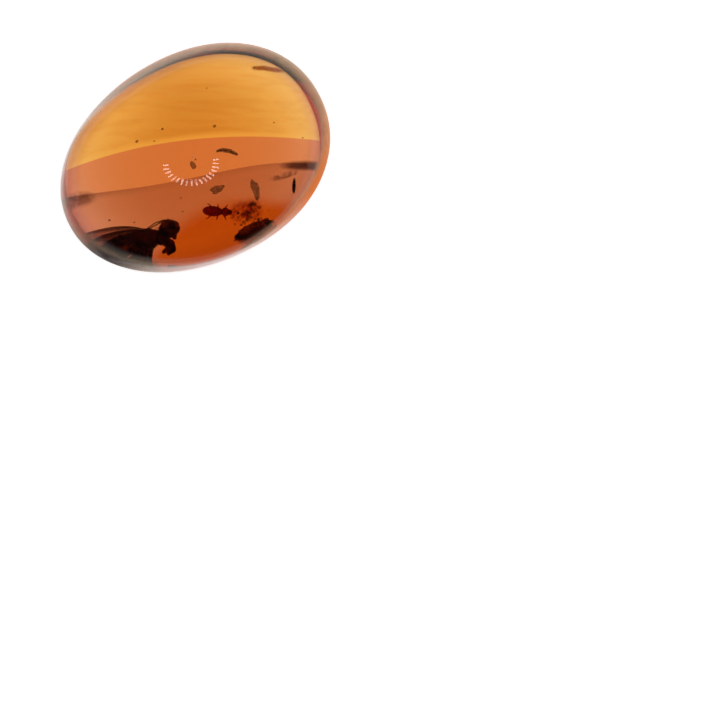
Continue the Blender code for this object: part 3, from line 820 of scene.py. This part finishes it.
def make_insect():
    """Head, eyes, thorax, abdomen, legs, feelers, bristles and wings, in place of the plain insect."""
    frame_of_insect = place(THORAX, HEADING, PITCH)
    body, eyes, wings = Skin(), Skin(), Skin()

    def plates(tilt, turn):
        return 1 + 0.035 * np.sin(5 * tilt) * np.cos(2 * turn) + 0.02 * np.sin(7 * turn + 4 * tilt)

    def facets(tilt, turn):
        return 1 + 0.012 * np.cos(14 * tilt) * np.cos(14 * turn)

    ball(body, in_mm(THORAX_BALL[0]), in_mm(THORAX_BALL[1]), 40, 30, plates)
    ball(body, in_mm(NECK_BALL[0]), in_mm(NECK_BALL[1]), 20, 12)
    ball(body, in_mm(HEAD_BALL[0]), in_mm(HEAD_BALL[1]), 36, 26, plates)
    hose(body, bent(np.array(MOUTH) * MM, 12), np.linspace(0.20, 0.09, 12) * MM, 12)
    insect_abdomen(body)
    insect_bristles(body)
    for side in (1, -1):
        ball(eyes, in_mm((1.38, 0.22, side * 0.31)), in_mm(EYE_RADII), 30, 22, facets)
        insect_wing(wings, side, -radians(13.0 + 3.5 * side), side * WING_SPREAD)
        insect_feeler(body, side)
        for joints, thickness in LEGS.values():
            insect_leg(body, side, joints, thickness)
    chitin = chitin_look()
    body.piece("insect_body", chitin, "chitin", ("insect",), frame_of_insect)
    eyes.piece("insect_eyes", eye_look(), "chitin", ("insect",), frame_of_insect)
    wings.piece("insect_wings", wing_look(), "chitin", ("insect",), frame_of_insect)


# ---------------------------------------------------------------- the smaller things

def make_beetle():
    """Two wing cases parted by a seam, with furrows, and the shield, face, feelers and six legs."""
    skin = Skin()

    def cases(tilt, turn):
        seam = np.exp(-((turn - pi / 2) / 0.10) ** 2)
        furrows = 0.5 + 0.5 * np.cos(turn * 16)
        return 1 - 0.10 * seam - 0.020 * furrows * np.sin(tilt) ** 2

    def shield(tilt, turn):
        return 1 + 0.03 * np.cos(3 * turn) * np.sin(tilt)

    ball(skin, in_mm((-0.2325, 0, 0)), in_mm((0.5425, 0.28, 0.21)), 96, 40, cases)
    ball(skin, in_mm((0.428, 0, 0)), in_mm((0.217, 0.241, 0.176)), 36, 22, shield)
    ball(skin, in_mm((0.660, 0, -0.02)), in_mm((0.132, 0.146, 0.116)), 28, 18)
    for side in (1, -1):
        for number, forward in enumerate((0.36, 0.02, -0.32)):
            sweep = 0.16 * (1 - number)
            joints = np.array([(forward, side * 0.16, -0.12), (forward + sweep * 0.6, side * 0.33, -0.14),
                               (forward + sweep * 1.2 - 0.05, side * 0.41, -0.24)]) * MM
            hose(skin, bent(joints, 16, 2), np.linspace(0.045, 0.018, 16) * MM, 8)
        feeler = bent(np.array([(0.74, side * 0.08, 0.02), (0.86, side * 0.17, 0.04),
                                (0.88, side * 0.26, 0.02)]) * MM, 20, 3)
        hose(skin, feeler, (0.012 + 0.012 * np.linspace(0, 1, 20) ** 4) * MM, 7)
    return skin.piece("beetle_shell", wing_case_look(), "wing_case", ("beetle",),
                      place(Vector(BEETLE_PLACE) * MM, BEETLE_TURN))


def make_crumb():
    """The bark crumb: a long lump swollen and hollowed by several waves of its two angles."""
    skin = Skin()

    def rough(tilt, turn):
        broad = 0.10 * np.sin(3 * turn + 4 * tilt) + 0.08 * np.sin(5 * turn - 7 * tilt)
        fine = 0.05 * np.sin(13 * turn + 9 * tilt) + 0.04 * np.sin(19 * tilt - 11 * turn)
        return 1 + broad + fine + 0.07 * np.cos(9 * tilt + 2 * turn)

    ball(skin, (0, 0, 0), in_mm((0.96, 0.29, 0.38)), 90, 110, rough)
    return skin.piece("crumb_of_bark", bark_look(), "bark", ("bark_crumb",),
                      place(Vector(CRUMB_PLACE) * MM, CRUMB_TURN))


def make_flake(name, node, centre, size, turn, material):
    """A felted pad: a low ellipsoid with a ragged rim, thin at its edge."""
    columns, rows = 72, 30
    angle = np.linspace(0, 2 * pi, columns, endpoint=False)[None, :]
    tilt = np.linspace(0, pi, rows + 1)[1:-1, None]
    ragged = 1 + 0.12 * np.sin(3 * angle + 1) + 0.08 * np.sin(5 * angle) + 0.05 * np.sin(11 * angle + 2)
    long, wide, thick = (s * MM for s in size)
    grid = np.stack([long * np.sin(tilt) * np.cos(angle) * ragged,
                     wide * np.sin(tilt) * np.sin(angle) * ragged,
                     thick * np.cos(tilt) * (1 + 0.15 * np.sin(7 * angle) * np.sin(tilt) ** 2)], -1)
    skin = Skin()
    skin.add(grid, ends=[(0, 0, thick), (0, 0, -thick)])
    return skin.piece(name, material, "dust", (node,), place(Vector(centre) * MM, radians(turn)))


def make_thread(name, node, points, radius, rise, material):
    """A plant fibre: strands wound round one arched line, thickest in the middle."""
    count = 60
    line = bent(points, count, 8) * MM
    share = np.linspace(0, 1, count)
    height = THREAD_HEIGHT + rise * MM * np.sin(pi * share)
    core = np.column_stack([line, height])
    swell = 0.40 + 0.60 * np.sin(pi * share) ** 0.6
    skin = Skin()
    for strand in range(4):
        wind = share * 9 + strand * pi / 2
        off = 0.42 * radius * MM * swell
        path = core + np.column_stack([off * np.cos(wind), off * np.cos(wind), off * np.sin(wind)])
        hose(skin, path, 0.52 * radius * MM * swell, 8)
    return skin.piece(name, material, "fibre", (node,))


def scatter(name, count, box, sizes, material, slot, seed):
    """Small irregular grains: one lumpy ball repeated with its own place, size and turn each time."""
    draw = np.random.default_rng(seed)
    low, high = np.array(box[0]) * MM, np.array(box[1]) * MM
    skin = Skin()
    for _ in range(count):
        lean = draw.uniform(0, 2 * pi, 3)
        centre = low + (high - low) * np.clip(draw.normal(0.5, 0.22, 3), 0.02, 0.98)
        size = draw.uniform(*sizes) * MM * draw.uniform(0.55, 1.0, 3)
        centre = keep_inside(centre, GRAIN_MARGIN + size.max())
        ball(skin, centre, size, 8, 6, waves(0.22, 2, 3, lean[0] + lean[1]))
    return skin.piece(name, material, slot)


def make_specks():
    """Single specks of dirt, each a lumpy ball in its own place."""
    skin = Skin()
    for k, (x, y, z, size) in enumerate(SPECKS):
        long = 1.7 if size > 0.1 else 0.85
        ball(skin, in_mm((x, y, z)), np.array([size, size * long, size * 0.8]) * MM, 14, 10,
             waves(0.18, 3, 2, k))
    dirt = soft_look("speck", (0.100, 0.030, 0.015), (0.240, 0.080, 0.040), 0.66, 0.3)
    return skin.piece("specks", dirt, "bark")


def tinted_ribbon(name, line, width, depth, material, slot):
    """A tinted ribbon under the skin along a line, for stains and for painted shade: `edge` is 0 along its
    middle and 1 at its rim.
    """
    count = 60
    path = bent(np.array(line) * MM, count, 6)
    along = np.gradient(path, axis=0)
    side = np.column_stack([-along[:, 1], along[:, 0]])
    side /= np.linalg.norm(side, axis=1, keepdims=True)
    across = np.linspace(-1, 1, 25)
    share = np.linspace(-1, 1, count)
    plan = path[:, None] + side[:, None] * (across[None, :, None] * width * MM / 2)
    skin = Skin()
    skin.add(under_the_skin(plan[..., 0], plan[..., 1], depth * MM), closed=False,
             edge=np.hypot(across[None, :], share[:, None] ** 2).clip(0, 1))
    return skin.piece(name, material, slot)


def make_small_things():
    """Beetle, crumb, flakes, threads, specks, grains, stains and painted shade."""
    make_beetle()
    make_crumb()
    dust = soft_look("dust", (0.030, 0.018, 0.015), (0.080, 0.050, 0.040), 0.66, 0.7)
    fibre = soft_look("fibre", (0.030, 0.018, 0.014), (0.130, 0.080, 0.060), 0.50, 0.8)
    make_flake("dust_middle", "flake_middle", (0.37, -1.98, 2.10), (0.38, 0.20, 0.16), -8.0, dust)
    make_flake("dust_right", "flake_right", (2.15, -2.94, 2.10), (0.20, 0.56, 0.17), -10.0, dust)
    make_thread("fibre_bent", "thread_bent",
                ((1.26, -0.20), (1.55, -0.27), (1.89, -0.52), (2.16, -0.88)), 0.120, 0.10, fibre)
    make_thread("fibre_short", "thread_short",
                ((4.26, -3.42), (4.13, -3.66), (4.01, -3.86), (3.89, -4.02)), 0.150, 0.08, fibre)
    make_specks()
    scatter("bark_dust", GRAINS, ((0.3, -4.7, 1.7), (2.3, -3.3, 2.5)), (0.05, 0.15),
            soft_look("bark_dust", (0.120, 0.030, 0.010), (0.260, 0.080, 0.024), 0.38, 0.5), "bark", 11)
    red = cloud_look("red_stain", (0.46, 0.16, 0.06), 0.95, 0.30, 0.58)
    grey = cloud_look("grey_stain", (0.30, 0.25, 0.25), 0.9)
    tinted_ribbon("crack", ((5.06, 2.96), (5.8, 2.60), (6.8, 1.85)), 0.38, 0.10,
          cloud_look("crack_stain", (0.36, 0.14, 0.09), 0.92, 0.12, 0.40), "amber")
    # Painted shade: a dark sheet along the near left wall, where the rim looks dark beyond the insect.
    tinted_ribbon("shade_left", ((-7.6, -1.3), (-7.0, -2.7), (-5.9, -3.7), (-4.3, -4.7)), 1.9, 0.15,
          cloud_look("shade", (0.07, 0.015, 0.008), 0.97, 0.25, 0.45), "amber")
    tinted_ribbon("red_cloud", ((0.3, -3.5), (1.2, -3.9), (2.2, -4.2)), 1.5, 1.0, red, "amber")
    # Painted shade: a dark brown sheet along the near rim below the crumb.
    tinted_ribbon("shade_crumb", ((-0.1, -5.15), (0.9, -5.30), (1.9, -5.05)), 0.85, 0.12,
          cloud_look("crumb_shade", (0.16, 0.055, 0.020), 0.92, 0.22, 0.48), "amber")
    dark = cloud_look("dark_stain", (0.15, 0.10, 0.10), 0.95, 0.15, 0.50)
    tinted_ribbon("streak_right", ((3.9, -2.55), (5.6, -3.38), (7.6, -4.70)), 0.70, 0.12, dark, "amber")
    tinted_ribbon("streak_middle", ((3.1, -3.00), (4.0, -3.2), (4.9, -3.35)), 0.45, 0.30, grey, "amber")
    tinted_ribbon("wedge_left", ((-8.6, 1.60), (-7.2, 1.08), (-5.6, 0.60)), 1.10, 0.08,
          cloud_look("wedge_stain", (0.32, 0.24, 0.24), 0.85, 0.10, 0.60), "amber")


# ---------------------------------------------------------------- floor, light and camera

def make_floor():
    """The pale board that the stone lies on."""
    mesh = bpy.data.meshes.new("floor")
    corners = ((-1, -1), (1, -1), (1, 1), (-1, 1))
    mesh.from_pydata([(x * FLOOR_HALF, y * FLOOR_HALF, -FLOOR_DROP) for x, y in corners], [], [(0, 1, 2, 3)])
    mesh.materials.append(floor_look())
    floor = bpy.data.objects.new("floor", mesh)
    bpy.context.scene.collection.objects.link(floor)


def make_sky():
    """A white tent, dimmer overhead where the lens looks through it and on the near side.

    The dimming follows the dot product of a direction with the one that points to the near side.
    """
    world = bpy.data.worlds.new("tent")
    bpy.context.scene.world = world
    world.use_nodes = True
    tree = world.node_tree
    light = tree.nodes["Background"]
    where = tree.nodes.new("ShaderNodeTexCoord")
    split = tree.nodes.new("ShaderNodeSeparateXYZ")
    ramp = tree.nodes.new("ShaderNodeValToRGB")
    tree.links.new(where.outputs["Generated"], split.inputs[0])
    tree.links.new(split.outputs["Z"], ramp.inputs[0])
    down = -view_axes()[1]
    toward = tree.nodes.new("ShaderNodeVectorMath")
    toward.operation = "DOT_PRODUCT"
    toward.inputs[1].default_value = down
    near = tree.nodes.new("ShaderNodeMapRange")
    near.inputs["From Min"].default_value = NEAR_FROM
    near.inputs["From Max"].default_value = NEAR_TO
    near.inputs["To Min"].default_value = SKY
    near.inputs["To Max"].default_value = SKY_NEAR
    tree.links.new(where.outputs["Generated"], toward.inputs[0])
    tree.links.new(toward.outputs["Value"], near.inputs["Value"])
    tree.links.new(near.outputs[0], light.inputs["Strength"])
    tree.links.new(ramp.outputs[0], light.inputs["Color"])
    stops = ((SKY_WHITE_TO, 1.0), (SKY_DARK_FROM, SKY_TOP))
    for element, (at, grey) in zip(ramp.color_ramp.elements, stops):
        element.position = at
        element.color = (grey, grey, grey, 1.0)


def view_axes():
    """The right and up of the view from above, as directions on the floor."""
    right = Vector((cos(VIEW_TURN), -sin(VIEW_TURN), 0))
    up = Vector((sin(VIEW_TURN), cos(VIEW_TURN), 0))
    return right, up


def make_lamps():
    """An arc of short strip lamps round the lens, which the dome mirrors.

    They are hidden from light that has passed through the amber, so no second arc shows in it.
    """
    right, up = view_axes()
    middle = Vector((0, 0, LAMPS_HEIGHT)) - right * LAMPS_LEFT - up * LAMPS_NEAR
    for k in range(LAMPS):
        turn = radians(ARC_FROM + k / (LAMPS - 1) * ARC_LENGTH)
        outward = right * LAMPS_WIDE * cos(turn) + up * LAMPS_DEEP * sin(turn)
        lamp = bpy.data.lights.new(f"lamp_{k}", "AREA")
        lamp.shape = "RECTANGLE"
        lamp.size = LAMP_WIDTH
        lamp.size_y = LAMP_LENGTH
        lamp.energy = LAMP_POWER
        back = (middle + outward).normalized()
        side = outward.cross(back).normalized()
        obj = bpy.data.objects.new(lamp.name, lamp)
        obj.matrix_world = (Matrix.Translation(middle + outward)
                            @ Matrix((side, back.cross(side), back)).transposed().to_4x4())
        obj.visible_transmission = False
        bpy.context.scene.collection.objects.link(obj)


def make_camera():
    """The lens, straight above and square to the floor."""
    right, up = view_axes()
    lens = bpy.data.cameras.new("lens")
    lens.sensor_width = SENSOR
    lens.lens = SENSOR * (CAMERA_HEIGHT - 1 * MM) / PICTURE_WIDTH
    lens.clip_start = 10 * MM
    camera = bpy.data.objects.new("lens", lens)
    turn = Matrix(((right.x, up.x, 0, 0), (right.y, up.y, 0, 0), (0, 0, 1, 0), (0, 0, 0, 1)))
    camera.matrix_world = Matrix.Translation((*CAMERA_PLACE, CAMERA_HEIGHT)) @ turn
    bpy.context.scene.collection.objects.link(camera)
    bpy.context.scene.camera = camera
    bpy.context.scene.view_settings.view_transform = "Standard"


make_stone()
make_flows()
make_insect()
make_small_things()
make_floor()
make_sky()
make_lamps()
make_camera()
